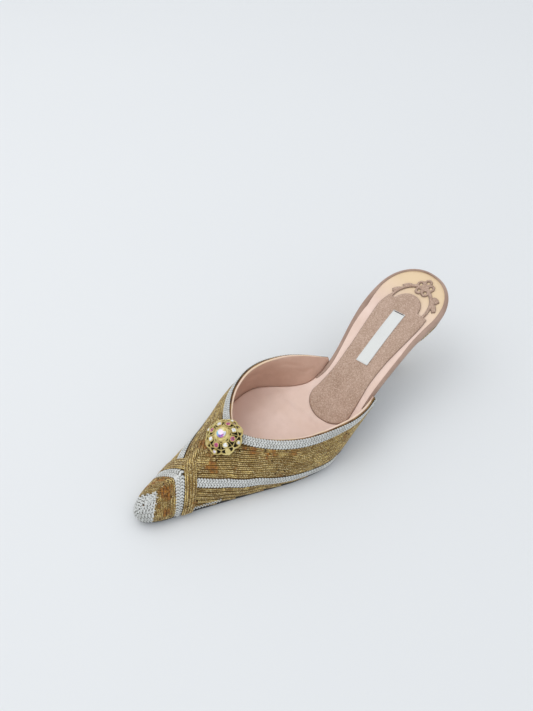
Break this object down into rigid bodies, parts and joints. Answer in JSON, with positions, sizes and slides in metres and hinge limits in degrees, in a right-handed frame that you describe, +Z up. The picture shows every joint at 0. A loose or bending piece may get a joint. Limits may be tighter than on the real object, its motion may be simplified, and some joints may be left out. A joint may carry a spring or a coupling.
{
  "type": "mule",
  "caption": "Left pointed-toe mule on a slim kitten heel, with a corded and braided upper, a suede sock with a cut-out sprig and a domed stone-set rosette on the throat.",
  "frame": {"origin": "on the floor, under the middle of the shoe's box", "axes": "+Y towards the toe, +X towards the medial side, +Z up"},
  "size_m": [0.0865, 0.2574, 0.0647],
  "materials": {
    "outsole": "dark edge-stained thin leather",
    "footbed": "nude glove leather, mauve-wrapped rim",
    "upper": "gold cords and flat silver braids sewn on cloth",
    "heel": "covered with the same gold cords",
    "heel_tip": "dark brown top piece",
    "sock": "taupe suede with cut edges",
    "label": "plain white woven tape",
    "rosette": "pale gold plated casting",
    "stone_clear": "cut clear crystal",
    "stone_pink": "cut magenta-pink crystal"
  },
  "bodies": {
    "root": {"outsole": "outsole", "footbed": "footbed", "upper": "upper", "heel": "heel", "heel_tip": "heel_tip", "sock": "sock", "label": "label", "ornament": "rosette", "stone_centre": "stone_clear", "stone_inner_1": "stone_pink", "stone_inner_2": "stone_clear", "stone_inner_3": "stone_pink", "stone_inner_4": "stone_clear", "stone_inner_5": "stone_pink", "stone_inner_6": "stone_clear", "stone_inner_7": "stone_pink", "stone_inner_8": "stone_clear", "stone_outer_1": "stone_clear", "stone_outer_2": "stone_clear", "stone_outer_3": "stone_clear", "stone_outer_4": "stone_clear"}
  },
  "joints": []
}
